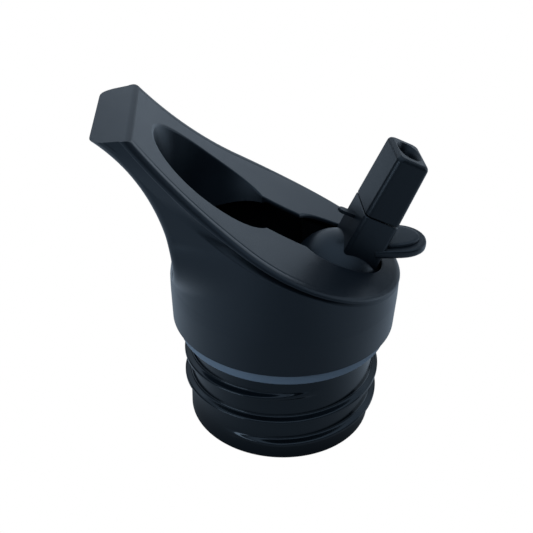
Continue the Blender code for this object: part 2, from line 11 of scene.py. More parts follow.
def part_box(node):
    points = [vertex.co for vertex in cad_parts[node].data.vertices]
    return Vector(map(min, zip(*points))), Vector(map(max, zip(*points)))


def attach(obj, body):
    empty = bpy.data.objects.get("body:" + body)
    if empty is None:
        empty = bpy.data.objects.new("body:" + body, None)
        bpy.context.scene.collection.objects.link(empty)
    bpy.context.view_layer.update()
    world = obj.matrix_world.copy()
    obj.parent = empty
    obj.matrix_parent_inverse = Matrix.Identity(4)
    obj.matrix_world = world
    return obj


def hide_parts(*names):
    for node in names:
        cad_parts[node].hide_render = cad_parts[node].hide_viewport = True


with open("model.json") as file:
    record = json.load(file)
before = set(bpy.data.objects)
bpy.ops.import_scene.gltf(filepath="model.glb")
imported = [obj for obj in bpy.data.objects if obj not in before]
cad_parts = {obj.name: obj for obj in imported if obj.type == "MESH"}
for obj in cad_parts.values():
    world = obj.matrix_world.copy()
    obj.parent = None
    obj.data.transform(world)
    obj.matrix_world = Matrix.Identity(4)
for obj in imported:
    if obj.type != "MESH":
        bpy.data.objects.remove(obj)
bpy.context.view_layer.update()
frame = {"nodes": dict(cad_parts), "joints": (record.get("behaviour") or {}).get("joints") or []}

MM = 0.001
GAP = 0.3 * MM
SHELL_LOW, SHELL_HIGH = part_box("cap_shell")
PLUG_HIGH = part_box("thread_plug")[1]
GASKET_LOW, GASKET_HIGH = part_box("bottle_gasket")
PADDLE_TOP_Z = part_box("thumb_pad")[0][2] - GAP
PIVOT = Vector(frame["joints"][0]["pos_m"])

# Body and handle
LIP_OUT = 1.1 * MM
BODY_R = 27.0 * MM
BODY_FOOT_R = 26.65 * MM
FOOT_Z = SHELL_LOW[2]
BODY_FULL_Z = FOOT_Z + 8.5 * MM
WALL = 2.2 * MM
SKIN = 0.9 * MM
TOP_ARC = (56.06 * MM, 153.81 * MM, 116.54 * MM)
SCOOP_ARC = (-62.1 * MM, 48.0 * MM, 36.3 * MM)
TIP_Z = SHELL_HIGH[2]
TIP_SLOPE = 0.147
TIP_X = -33.4 * MM
TIP_EDGE_W = 13.9 * MM
ARM_SWELL = 7.0 * MM
ARM_ROUND = (1.0 * MM, 2.4 * MM)  # rounding of the arm's edge at its foot and at the handle's end
TIP_ROUND = 1.1 * MM
RIM_R = BODY_R - 1.0 * MM
RIM_LINE = 0.42
RIM_FLARE = 1.2 * MM
CREASE_IN = 1.3 * MM
CREASE = (0.25 * MM, 0.1 * MM)  # half width and depth of the crease inside the rolled rim
GROOVE = 1.7 * MM  # how far the undercut bites into the body below the rim
LIP_SHAPE = (  # the rolled rim's edge: share of its way out and of its drop, from its foot to the top
    (0.86, 1.0), (0.95, 0.95), (1.0, 0.85), (0.99, 0.72), (0.94, 0.58), (0.86, 0.44), (0.76, 0.31),
    (0.62, 0.19), (0.45, 0.09), (0.24, 0.025), (-0.02, 0.0), (-0.3, 0.0),
)
EDGE_R = 0.45 * MM
CEILING = (54.4 * MM, 0.31)
CHAMBER_REAR_X = -19.5 * MM
FINGER_FLOOR_Z = FOOT_Z + 21.5 * MM

# Opening in the top
HOLE = (-16.3 * MM, 13.0 * MM, 12.6 * MM, 2.3)
MOUTH = (PIVOT.x, 10.2 * MM, 10.6 * MM, 2.6)
CHANNEL_W = 7.5 * MM

# Plug
CORE_R = 22.6 * MM
CUP_R = 20.3 * MM
UPPER_CUP_R = 22.9 * MM
STEP_Z = 28.2 * MM
FLOOR = 2.0 * MM
FLANGE_R = BODY_R - WALL - GAP
RISER_R = 6.6 * MM
THREAD_R = 24.1 * MM
THREAD_PITCH = 6.8 * MM
THREAD_START = (225.0, 4.41 * MM)
THREAD_TURNS = 2.18

# Spout
BALL_R = 11.0 * MM
BALL_FLAT = 10.6 * MM
LEAN = math.radians(24.0)
NECK_W = 6.4 * MM
NECK_BACK = -3.45 * MM
NECK_FRONT = 4.3 * MM
NECK_TAPER = 0.058
SEAM_S = 19.3 * MM
STEM_S = 29.3 * MM
TIP_S = 34.7 * MM
STEM = (2.4 * MM, 4.4 * MM)
BORE = (1.6 * MM, 3.0 * MM)
FUNNEL = (  # drinking hole: depth below the tip and half axes, in mm
    (3.0, 1.9, 3.1), (1.3, 2.2, 3.6), (0.7, 2.4, 3.9), (0.3, 2.65, 4.2), (-0.4, 3.1, 4.7),
)
PORT_R = 2.4 * MM
PIN_INNER_Y = min(abs(corner[1]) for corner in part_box("pivot_pin_near"))
PIN_HOLE_R = 1.8 * MM
PADDLE_T = 2.1 * MM
PADDLE_W = 6.6 * MM
PADDLE_X = (20.0 * MM, 33.1 * MM)
TONGUE_S = 15.8 * MM
TONGUE = (4.2 * MM, 0.8 * MM, 2.0 * MM)

# Light levels around the object
COOL = (0.8, 0.99, 1.21)
PANEL_TINT = (0.84, 0.98, 1.14)
FLOOR_FRONT, FLOOR_BACK, FLOOR_SIDES = 0.2, 0.36, 1.75
ROOM, OVERHEAD = 0.01, 0.7
PANELS = (
    ("back_right", 150, 5, 0.33, 0.22),
    ("back", 180, 18, 0.45, 0.24),
    ("front_left", -60, 5, 0.33, 1.0),
    ("back_left", -150, 30, 0.33, 0.15),
    ("right", 120, 30, 0.33, 0.11),
    ("low_right", 100, 8, 0.33, 0.35),
    ("front_strip", 0, 32, 0.03, 0.05),
)


# Mesh helpers


def make_object(name, verts, faces, smooth_deg=35.0):
    """One object from points and faces, merged, facing outwards and smooth except at its creases."""
    mesh = bpy.data.meshes.new(name)
    mesh.from_pydata([tuple(v) for v in verts], [], faces)
    bm = bmesh.new()
    bm.from_mesh(mesh)
    bmesh.ops.remove_doubles(bm, verts=bm.verts, dist=1e-6)
    bmesh.ops.dissolve_degenerate(bm, edges=bm.edges, dist=1e-7)
    bmesh.ops.recalc_face_normals(bm, faces=bm.faces)
    if bm.calc_volume(signed=True) < 0:
        bmesh.ops.reverse_faces(bm, faces=bm.faces)
    bm.to_mesh(mesh)
    bm.free()
    obj = bpy.data.objects.new(name, mesh)
    bpy.context.scene.collection.objects.link(obj)
    return soften(obj, smooth_deg)


def soften(obj, smooth_deg=35.0):
    obj.data.shade_smooth()
    obj.data.set_sharp_from_angle(angle=math.radians(smooth_deg))
    return obj


def combine(target, tools, operation, smooth_deg=35.0):
    """Cuts or joins with each tool in turn, then throws the tools away."""
    for tool in tools:
        mod = target.modifiers.new(tool.name, "BOOLEAN")
        mod.operation = operation
        mod.solver = "EXACT"
        mod.object = tool
    graph = bpy.context.evaluated_depsgraph_get()
    mesh = bpy.data.meshes.new_from_object(target.evaluated_get(graph))
    target.modifiers.clear()
    bm = bmesh.new()
    bm.from_mesh(mesh)
    bmesh.ops.remove_doubles(bm, verts=bm.verts, dist=5e-7)
    bmesh.ops.dissolve_degenerate(bm, edges=bm.edges, dist=1e-7)
    bm.to_mesh(mesh)
    bm.free()
    target.data = mesh
    for tool in tools:
        bpy.data.objects.remove(tool, do_unlink=True)
    return soften(target, smooth_deg)


def weighted_normals(obj):
    """Keeps broad faces true where they meet narrow rounded ones."""
    mod = obj.modifiers.new("broad_faces", "WEIGHTED_NORMAL")
    mod.weight = 100
    mod.keep_sharp = True
    return obj


def bridge(rings, cap_first=True, cap_last=True, wrap=False):
    """Joins rings of equal length into one skin of quads."""
    n = len(rings[0])
    verts = [p for ring in rings for p in ring]
    faces = []
    pairs = len(rings) if wrap else len(rings) - 1
    for k in range(pairs):
        a, b = k * n, ((k + 1) % len(rings)) * n
        faces += [(a + i, a + (i + 1) % n, b + (i + 1) % n, b + i) for i in range(n)]
    if cap_first and not wrap:
        faces.append(tuple(reversed(range(n))))
    if cap_last and not wrap:
        faces.append(tuple(range((len(rings) - 1) * n, len(rings) * n)))
    return verts, faces


def turned(name, profile, segments, centre=(0.0, 0.0), hollow=True, smooth_deg=35.0):
    """Turns an outline of (radius, z) points about a vertical axis at centre."""
    angles = [2 * math.pi * i / segments for i in range(segments)]
    rings = [
        [Vector((centre[0] + r * math.cos(a), centre[1] + r * math.sin(a), z)) for a in angles]
        for r, z in profile
    ]
    return make_object(name, *bridge(rings, wrap=hollow), smooth_deg)


def rounded_profile(corners, steps=4):
    """An outline of (radius, z, rounding) corners with each corner rounded by its own amount."""
    out = []
    n = len(corners)
    for i, (r, z, radius) in enumerate(corners):
        if radius == 0.0:
            out.append((r, z))
            continue
        here = Vector((r, z))
        before = Vector(corners[i - 1][:2])
        after = Vector(corners[(i + 1) % n][:2])
        a = here + (before - here).normalized() * radius
        b = here + (after - here).normalized() * radius
        for k in range(steps + 1):
            t = k / steps
            p = a * (1 - t) ** 2 + here * 2 * t * (1 - t) + b * t * t
            out.append((p.x, p.y))
    return out


class Skin:
    """Collects grids of points that share their edges into one mirrored solid."""

    def __init__(self):
        self.verts = []
        self.faces = []

    def grid(self, rows):
        base, cols = len(self.verts), len(rows[0])
        self.verts.extend(p for row in rows for p in row)
        for i in range(len(rows) - 1):
            for j in range(cols - 1):
                a = base + i * cols + j
                self.faces.append((a, a + cols, a + cols + 1, a + 1))

    def both_sides(self, rows):
        self.grid(rows)
        self.grid([[mirrored(p) for p in row] for row in rows])

    def across(self, points):
        self.grid([[p, mirrored(p)] for p in points])

    def one_face(self, points):
        base = len(self.verts)
        self.verts.extend(list(points) + [mirrored(p) for p in reversed(points)])
        self.faces.append(tuple(range(base, len(self.verts))))

    def build(self, name, smooth_deg=35.0):
        return make_object(name, self.verts, self.faces, smooth_deg)


def mirrored(p):
    return Vector((p.x, -p.y, p.z))


def half_solid(name, rows, smooth_deg=35.0):
    """A solid symmetric about y = 0 from stacked half outlines, each running front to back."""
    skin = Skin()
    skin.both_sides(rows)
    skin.across(rows[0])
    skin.across(rows[-1])
    return skin.build(name, smooth_deg)


def smoothstep(t):
    t = min(max(t, 0.0), 1.0)
    return t * t * (3.0 - 2.0 * t)


def spaced(low, high, count):
    """Positions from low to high, crowded towards both ends."""
    return [low + (high - low) * (1 - math.cos(math.pi * i / count)) / 2 for i in range(count + 1)]


def bisect(fn, low, high):
    sign = fn(low) > 0
    for _ in range(50):
        mid = (low + high) / 2
        if (fn(mid) > 0) == sign:
            low = mid
        else:
            high = mid
    return (low + high) / 2


def resample(points, count):
    """count + 1 points evenly spaced in plan along a dense line."""
    runs = [0.0]
    for a, b in zip(points, points[1:]):
        runs.append(runs[-1] + (b.xy - a.xy).length)
    out, k = [], 0
    for i in range(count + 1):
        want = runs[-1] * i / count
        while k < len(runs) - 2 and runs[k + 1] < want:
            k += 1
        t = (want - runs[k]) / (runs[k + 1] - runs[k])
        out.append(points[k].lerp(points[k + 1], min(t, 1.0)))
    return out


# Body and handle surfaces


def top_z(x):
    cx, cz, r = TOP_ARC
    return cz - math.sqrt(r * r - (x - cx) ** 2)


def top_slope(x):
    """Cosine of the top surface's tilt at x."""
    cx, _, r = TOP_ARC
    return math.sqrt(r * r - (x - cx) ** 2) / r


def tip_z(x):
    return TIP_Z + TIP_SLOPE * (x - TIP_X)


def scoop_x(z):
    cx, cz, r = SCOOP_ARC
    return cx + math.sqrt(max(r * r - (z - cz) ** 2, 0.0))


def body_r(z):
    t = (z - FOOT_Z) / (BODY_FULL_Z - FOOT_Z)
    return BODY_FOOT_R + (BODY_R - BODY_FOOT_R) * min(max(t, 0.0), 1.0)


SCOOP_FOOT_Z = bisect(lambda z: scoop_x(z) + BODY_R, BODY_FULL_Z, 48.0 * MM)
TIP_LOW_Z = bisect(lambda z: z - tip_z(scoop_x(z)), 70.0 * MM, 80.0 * MM)
TOP_END_X = bisect(lambda x: top_z(x) - tip_z(x), -45.0 * MM, -25.0 * MM)


def arm_corner(z):
    """The (x, y) of the lower outer edge of the handle's arm at a height."""
    if z <= SCOOP_FOOT_Z:
        return -body_r(z), 0.0
    x = scoop_x(z)
    t = min((z - SCOOP_FOOT_Z) / (TIP_LOW_Z - SCOOP_FOOT_Z), 1.0)
    swell = (TIP_EDGE_W + ARM_SWELL * (1.0 - t)) * (1.0 - (1.0 - t) ** 5)
    on_body = math.sqrt(max(BODY_R**2 - x * x, 0.0))
    return x, math.hypot(on_body, swell)


def wall_path(z):
    """Radius, tangent angle, arc length, line length and corner of the half outline at a height."""
    r = body_r(z)
    px, py = arm_corner(z)
    dist = math.hypot(px, py)
    touch = math.atan2(py, px) - math.acos(min(r / dist, 1.0))
    return r, touch, r * touch, math.sqrt(max(dist * dist - r * r, 0.0)), px, py


def wall_at(run, z):
    """A point on the half outline at a height, run along it from the front."""
    r, touch, arc, line, px, py = wall_path(z)
    if run <= arc or line < 1e-9:
        return Vector((r * math.cos(run / r), r * math.sin(run / r), z))
    k = (run - arc) / line
    tx, ty = r * math.cos(touch), r * math.sin(touch)
    return Vector((tx + (px - tx) * k, ty + (py - ty) * k, z))


def wall_point(f, z):
    _, _, arc, line, _, _ = wall_path(z)
    return wall_at(f * (arc + line), z)


def corner_round(z):
    t = (z - SCOOP_FOOT_Z) / (TIP_LOW_Z - SCOOP_FOOT_Z)
    foot, end = ARM_ROUND
    return min(foot + (end - foot) * min(max(t, 0.0), 1.0) ** 2, 0.35 * arm_corner(z)[1])


def edge_column_point(f, f_end, z):
    """Like wall_point, but its last column stops short of the corner by the corner's rounding."""
    _, _, arc, line, _, _ = wall_path(z)
    total = arc + line
    share = (f - f_end) / (1.0 - f_end)
    return wall_at(total * f_end + share * (total * (1.0 - f_end) - corner_round(z)), z)


def rounded_corner_point(q, z):
    """A point on the arm's rounded corner, q from 0 on the side to 1 under the handle."""
    _, _, arc, line, px, py = wall_path(z)
    a = wall_at(arc + line - corner_round(z), z)
    p = Vector((px, py, z))
    b = Vector((px, py - corner_round(z), z))
    return a * (1 - q) ** 2 + p * 2 * q * (1 - q) + b * q * q


def handle_share(x):
    """0 at the front and 1 on the handle."""
    return smoothstep((5.0 * MM - x) / (32.0 * MM))


def lip_drop(x):
    return (0.8 + 0.9 * handle_share(x)) * MM / top_slope(x)


def band_drop(x):
    return lip_drop(x) + (0.8 + 1.9 * handle_share(x) ** 0.7) * MM / top_slope(x)


def rim_w(x, out=0.0):
    """Half width of the rim outline at x, moved outwards by out."""
    r = RIM_R + out
    tangent = math.atan(RIM_LINE)
    x0, y0 = -r * math.sin(tangent), r * math.cos(tangent)
    if x >= x0:
        return math.sqrt(max(r * r - x * x, 0.0))
    t = (x0 - x) / (23.4 * MM)
    return y0 - RIM_LINE * (x0 - x) + RIM_FLARE * t * t


def rim_half(drop, out, count):
    """Half of a rim outline, evenly spaced from the front to the handle's end face."""
    x_end = bisect(lambda x: top_z(x) - drop(x) - tip_z(x), -45.0 * MM, -25.0 * MM)
    xs = spaced(x_end, RIM_R + out, 500)[::-1]
    return resample([Vector((x, rim_w(x, out), top_z(x) - drop(x))) for x in xs], count)


def wall_edge_z(x):
    return min(top_z(x) - band_drop(x), tip_z(x))


def wall_heights(top):
    """Heights up a wall column, closer together where the scoop starts and under the rim."""
    low = [FOOT_Z + 0.3 * MM, FOOT_Z + 3.0 * MM, FOOT_Z + 6.0 * MM]
    steps = [0.0, 0.03, 0.055, 0.0655, 0.075, 0.09, 0.11]
    steps += [0.11 + 0.89 * i / 34 for i in range(1, 35)]
    return low + [BODY_FULL_Z + (top - BODY_FULL_Z) * s for s in steps]


def arm_heights(top):
    """Heights up the arm's edge, the same for all its columns until they near the end face."""
    split = 60.0 * MM
    stretch = (top - split) / (TIP_LOW_Z - split)
    return [z if z < split else split + (z - split) * stretch for z in wall_heights(TIP_LOW_Z)]


def groove_share(x):
    """How deep the undercut is at x: shallow at the front, deepest at the side, fading on the handle."""
    side = 0.1 + 0.9 * smoothstep((16.0 * MM - x) / (26.0 * MM))
    end = 1.0 - smoothstep((-12.0 * MM - x) / (17.0 * MM))
    return side * end


def crease_share(x):
    """How deep the crease on top is at x: none at the front, full from the side back."""
    return smoothstep((12.0 * MM - x) / (20.0 * MM))


def undercut(below, wall, lip, rows=11):
    """The hollow curve that leaves the wall smoothly and bites in under the lip's edge."""
    turn = min(max(math.atan2(-wall.x, wall.y), -math.pi / 2), math.atan(RIM_LINE))
    inward = Vector((math.sin(turn), -math.cos(turn), 0.0))
    bite = inward * GROOVE * groove_share(wall.x)
    a = wall + (wall - below).normalized() * (lip.z - wall.z) * 0.4
    b = lip - Vector((0.0, 0.0, lip.z - wall.z)) * 0.1 + bite * 2.0
    curve = []
    for i in range(1, rows):
        t = i / rows
        s = 1.0 - t
        curve.append(wall * s**3 + a * 3 * s * s * t + b * 3 * s * t * t + lip * t**3)
    return curve


def rim_rows(along):
    """Outlines from the lip's edge over the rolled rim and its crease onto the top."""
    rows = []
    for out, share in LIP_SHAPE:
        rows.append(rim_half(lambda x: lip_drop(x) * share, LIP_OUT * out, along))
    width, depth = CREASE
    for inset, drop in ((-width, 0.0), (0.0, depth), (width, 0.0), (3 * width, 0.0)):
        rows.append(rim_half(lambda x: drop * crease_share(x), -CREASE_IN - inset, along))
    return rows


def shell_outside(along=120, end=6, corner=4):
    """The body and handle as a solid block: wall, undercut, rolled rim, top, end face and scoop."""
    rims = rim_rows(along)
    lip = rims[0]
    x_end = bisect(lambda x: top_z(x) - band_drop(x) - tip_z(x), -45.0 * MM, -25.0 * MM)
    ratio = (BODY_R - x_end) / (lip[0].x - lip[-1].x)
    columns = []
    f_end = 0.0
    for k, p in enumerate(lip):
        x = BODY_R - ratio * (lip[0].x - p.x)
        top = wall_edge_z(x)
        f_end = 0.0 if k == 0 else bisect(lambda f: wall_point(f, top).x - x, 0.0, 1.0)
        columns.append([wall_point(f_end, z) for z in wall_heights(top)])
    tracks = []
    for i in range(1, end + 1):
        tracks.append(lambda z, f=f_end + (1.0 - f_end) * i / end: edge_column_point(f, f_end, z))
    for i in range(1, corner + 1):
        tracks.append(lambda z, q=i / corner: rounded_corner_point(q, z))
    for track in tracks:
        top = TIP_LOW_Z
        for _ in range(40):
            top = tip_z(track(top).x)
        columns.append([track(z) for z in arm_heights(top)])
    for column in columns:
        foot = column[0].copy()
        foot.z = FOOT_Z
        inset = 1.0 - 0.3 * MM / BODY_FOOT_R
        column.insert(0, Vector((foot.x * inset, foot.y * inset, FOOT_Z)))
    bands = []
    for k in range(along + 1):
        wall = columns[k][-1]
        cove = undercut(columns[k][-2], wall, lip[k])
        if k == along:
            for p in cove:
                p.z = tip_z(p.x)
        bands.append([wall] + cove + [row[k] for row in rims])
    skin = Skin()
    skin.both_sides(columns)
    skin.both_sides(bands)
    skin.across([band[-1] for band in bands])
    skin.across([column[0] for column in columns])
    skin.across(columns[-1])
    end_face = list(reversed(bands[-1])) + [column[-1] for column in columns[along + 1:]]
    on_edge = [i for i, p in enumerate(end_face) if p.x > TOP_END_X - 0.001 * MM][-1] + 1
    skin.one_face(end_face[:on_edge + 1])
    skin.across(end_face[on_edge:])
    return skin.build("cap_body", 30.0)


def tip_edge_tool():
    """What rounds the edge between the handle's end face and the top."""
    edge = Vector((TOP_END_X, 0.0, tip_z(TOP_END_X)))
    ahead = Vector((1.0, 0.0, (top_z(edge.x + MM) - edge.z) / MM)).normalized()
    behind = Vector((-1.0, 0.0, -TIP_SLOPE)).normalized()
    lift = Vector((0.0, 0.0, 0.01 * MM))
    a, b = edge + behind * TIP_ROUND + lift, edge + ahead * TIP_ROUND + lift
    outline = []
    for i in range(9):
        t = i / 8
        outline.append(a * (1 - t) ** 2 + edge * 2 * t * (1 - t) + b * t * t)
    outline += [b + Vector((MM, 0.0, 2 * MM)), a + Vector((-MM, 0.0, 2 * MM))]
    side = Vector((0.0, 2 * BODY_R, 0.0))
    return make_object("tip_edge_tool", *bridge([[p - side for p in outline], [p + side for p in outline]]))


def superellipse(x, centre, half_length, half_width, power):
    s = abs(x - centre) / half_length
    return half_width * (1.0 - s**power) ** (1.0 / power) if s < 1.0 else 0.0


def opening_w(x):
    """Half width of the opening in the top: finger hole, narrow channel, rotor mouth."""
    channel = CHANNEL_W if HOLE[0] < x < MOUTH[0] else 0.0
    return max(superellipse(x, *HOLE), superellipse(x, *MOUTH), channel)


def opening_outline():
    """Half outline of the opening from the front to the back, and each point's outward direction."""
    rear, front = HOLE[0] - HOLE[1], MOUTH[0] + MOUTH[1]
    to_hole = bisect(lambda x: superellipse(x, *HOLE) - CHANNEL_W, HOLE[0], 0.0)
    to_mouth = bisect(lambda x: superellipse(x, *MOUTH) - CHANNEL_W, 0.0, MOUTH[0])
    parts = []
    for low, high, count in ((to_mouth, front, 56), (to_hole, to_mouth, 12), (rear, to_hole, 70)):
        xs = spaced(low, high, 300)[::-1]
        parts.append(resample([Vector((x, opening_w(x), 0.0)) for x in xs], count))
    points = parts[0] + parts[1][1:] + parts[2][1:]
    points[0].y = points[-1].y = 0.0
    normals = []
    for i in range(len(points)):
        a = points[i - 1] if i else mirrored(points[1])
        b = points[i + 1] if i + 1 < len(points) else mirrored(points[-2])
        along = (b - a).normalized()
        normals.append(Vector((-along.y, along.x, 0.0)))
    return points, normals


def opening_tool():
    """The opening as a cutter whose upper end flares to round the opening's edge."""
    points, normals = opening_outline()
    rows = []

    def floor_z(x):
        ahead = smoothstep((x - HOLE[0] - 11.2 * MM) / (8.0 * MM))
        behind = smoothstep((-18.0 * MM - x) / (6.0 * MM))
        return FINGER_FLOOR_Z - ahead * 13.0 * MM - behind * 7.0 * MM

    rows.append([Vector((p.x, p.y, floor_z(p.x))) for p in points])
    steps = 6
    for i in range(steps + 1):
        a = math.pi / 2 * i / steps
        out, depth = EDGE_R * (1 - math.cos(a)), EDGE_R * (1 - math.sin(a))
        row = []
        for p, n in zip(points, normals):
            q = p - n * out
            row.append(Vector((q.x, max(q.y, 0.0), top_z(q.x) - depth)))
        rows.append(row)
    rows.append([Vector((p.x, p.y, p.z + 6.0 * MM)) for p in rows[-1]])
    return half_solid("opening_tool", rows)


def chamber_tool():
    r = BODY_R - WALL
    xs = spaced(CHAMBER_REAR_X, r, 90)[::-1]
    outline = [(x, math.sqrt(max(r * r - x * x, 0.0))) for x in xs] + [(CHAMBER_REAR_X, 0.0)]
    low = [Vector((x, y, FOOT_Z - 5.0 * MM)) for x, y in outline]
    high = [Vector((x, y, min(top_z(x) - SKIN, CEILING[0] + CEILING[1] * x))) for x, y in outline]
    return half_solid("chamber_tool", [low, high])


def ball(name, radius, flat, segments=96, rings=48):
    """A ball about the pivot with a flat on each side, turned about Y."""
    angles = [2 * math.pi * k / segments for k in range(segments)]
    stack = []
    for i in range(rings + 1):
        y = flat * math.sin(math.pi * (i / rings - 0.5))
        r = math.sqrt(radius**2 - y * y)
        stack.append([PIVOT + Vector((r * math.cos(a), y, r * math.sin(a))) for a in angles])
    return make_object(name, *bridge(stack))


def build_shell():
    shell = shell_outside()
    swing = ball("swing_tool", BALL_R + 1.6 * GAP, BALL_FLAT)
    tools = [chamber_tool(), tip_edge_tool(), opening_tool(), swing]
    combine(shell, tools, "DIFFERENCE", 30.0)
    return weighted_normals(shell)


# Plug and gasket


def thread_height(azimuth, z):
    """How far the thread's ridge stands out of the core at a direction and height."""
    rise = 0.0
    for lap in range(4):
        turn = (azimuth - THREAD_START[0]) / 360.0 + lap
        if not 0.0 <= turn <= THREAD_TURNS:
            continue
        ends = smoothstep(turn / 0.12) * smoothstep((THREAD_TURNS - turn) / 0.14)
        off = abs(z - THREAD_START[1] - THREAD_PITCH * turn) / MM
        rise = max(rise, ends * (1.0 - smoothstep((off - 0.25) / 0.85)))
    return (THREAD_R - CORE_R) * rise


def thread_wall(low, high, segments):
    """The core's wall from low to high, its rows following the thread's slope."""
    above = [0.08, 0.2, 0.3, 0.4, 0.5, 0.62, 0.75, 0.88, 1.0, 1.12, 1.4, 2.2]
    offsets = sorted([-d * MM for d in above] + [d * MM for d in above])
    rows = [lap * THREAD_PITCH + d for lap in range(-2, 5) for d in offsets]
    start, z0 = THREAD_START
    columns = []
    for i in range(segments + 1):
        azimuth = 360.0 * i / segments
        a = math.radians(azimuth)
        crest = z0 + THREAD_PITCH * (azimuth - start) / 360.0
        column = []
        for row in rows:
            z = min(max(crest + row, low), high)
            r = CORE_R + thread_height(azimuth, z)
            column.append(Vector((r * math.cos(a), r * math.sin(a), z)))
        columns.append(column)
    return columns


def build_plug(segments=288):
    """Glossy cup with the outside thread, a groove for the gasket and a flange inside the body."""
    groove_r = CORE_R - 0.3 * MM
    top = PLUG_HIGH[2]
    low, high = 0.3 * MM, 24.1 * MM
    foot = rounded_profile([(0.0, 0.0, 0.0), (CORE_R, 0.0, low), (CORE_R, high, 0.0)], 4)[:-1]
    upper = [
        (CORE_R, high), (groove_r, 24.3 * MM), (groove_r, GASKET_HIGH[2] + 0.2 * MM), (FLANGE_R, FOOT_Z),
        (FLANGE_R, top), (UPPER_CUP_R, top), (UPPER_CUP_R, STEP_Z), (CUP_R, STEP_Z),
        (CUP_R, FLOOR), (0.0, FLOOR),
    ]
    angles = [2 * math.pi * i / segments for i in range(segments + 1)]
    skin = Skin()
    for profile in (foot, upper):
        skin.grid([[Vector((r * math.cos(a), r * math.sin(a), z)) for r, z in profile] for a in angles])
    skin.grid(thread_wall(low, high, segments))
    plug = skin.build("plug_cup", 40.0)
    at = (PIVOT.x, PIVOT.y)
    riser_top = 27.2 * MM
    column = [(0.0, MM), (RISER_R, MM), (RISER_R, riser_top), (0.0, riser_top)]
    riser = turned("riser", column, 64, at, False)
    combine(plug, [riser], "UNION", 40.0)
    low = -1.0 * MM
    bore = [
        (0.0, low), (3.2 * MM, low), (3.2 * MM, 12.0 * MM), (PORT_R, 12.0 * MM), (PORT_R, 25.3 * MM),
        (5.9 * MM, 25.3 * MM), (5.9 * MM, riser_top + MM), (0.0, riser_top + MM),
    ]
    vent = [(0.0, low), (1.6 * MM, low), (1.6 * MM, 3.0 * MM), (0.0, 3.0 * MM)]
    tools = [turned("bore", bore, 60, at, False), turned("vent", vent, 32, (-11.0 * MM, 0.0), False)]
    return weighted_normals(combine(plug, tools, "DIFFERENCE", 40.0))


def build_gasket():
    """Ring with rounded outer edges, sitting in its groove under the body."""
    inner, outer = CORE_R + 0.2 * MM, GASKET_HIGH[0]
    low, high = GASKET_LOW[2], GASKET_HIGH[2]
    corners = [(inner, low, 0.0), (outer, low, 0.8 * MM), (outer, high, 0.8 * MM), (inner, high, 0.0)]
    return turned("gasket_ring", rounded_profile(corners, 6), 224)


# Spout


def spout_point(s, forward, y):
    along = Vector((math.sin(LEAN), 0.0, math.cos(LEAN)))
    ahead = Vector((math.cos(LEAN), 0.0, -math.sin(LEAN)))
    return PIVOT + along * s + ahead * forward + Vector((0.0, y, 0.0))


def neck_front(s):
    """How far the neck's front face lies ahead of its axis."""
    return NECK_FRONT + NECK_TAPER * (TIP_S - s)


def box_ring(s, back, front, half, radius, per_corner=8):
    """A rounded rectangle across the spout at a distance s from the pivot."""
    centres = [(front - radius, half - radius), (back + radius, half - radius),
               (back + radius, radius - half), (front - radius, radius - half)]
    ring = []
    for quarter, (cx, cy) in enumerate(centres):
        for i in range(per_corner + 1):
            a = math.pi / 2 * (quarter + i / per_corner)
            ring.append(spout_point(s, cx + radius * math.cos(a), cy + radius * math.sin(a)))
    return ring


def oval_ring(s, half_forward, half_side, centre=0.0, count=36, power=2.0):
    ring = []
    for i in range(count):
        a = 2 * math.pi * i / count
        c, d = math.cos(a), math.sin(a)
        u = math.copysign(abs(c) ** (2 / power), c)
        v = math.copysign(abs(d) ** (2 / power), d)
        ring.append(spout_point(s, centre + half_forward * u, half_side * v))
    return ring


def paddle_outline(grow, z, x_root, count=40):
    """The paddle's rounded plan outline at a height, shrunk where grow is negative."""
    half, tip = PADDLE_W + grow, PADDLE_X[1] + grow
    bend = 7.6 * MM
    points = [Vector((x_root, -half, z))]
    for i in range(count + 1):
        a = math.pi * (i / count - 0.5)
        x = tip - bend + bend * max(math.cos(a), 0.0) ** 0.8
        points.append(Vector((x, half * math.sin(a), z)))
    points.append(Vector((x_root, half, z)))
    return points


def slab(name, levels, x_root):
    """A rounded slab from (grow, z) levels."""
    return make_object(name, *bridge([paddle_outline(g, z, x_root) for g, z in levels]))


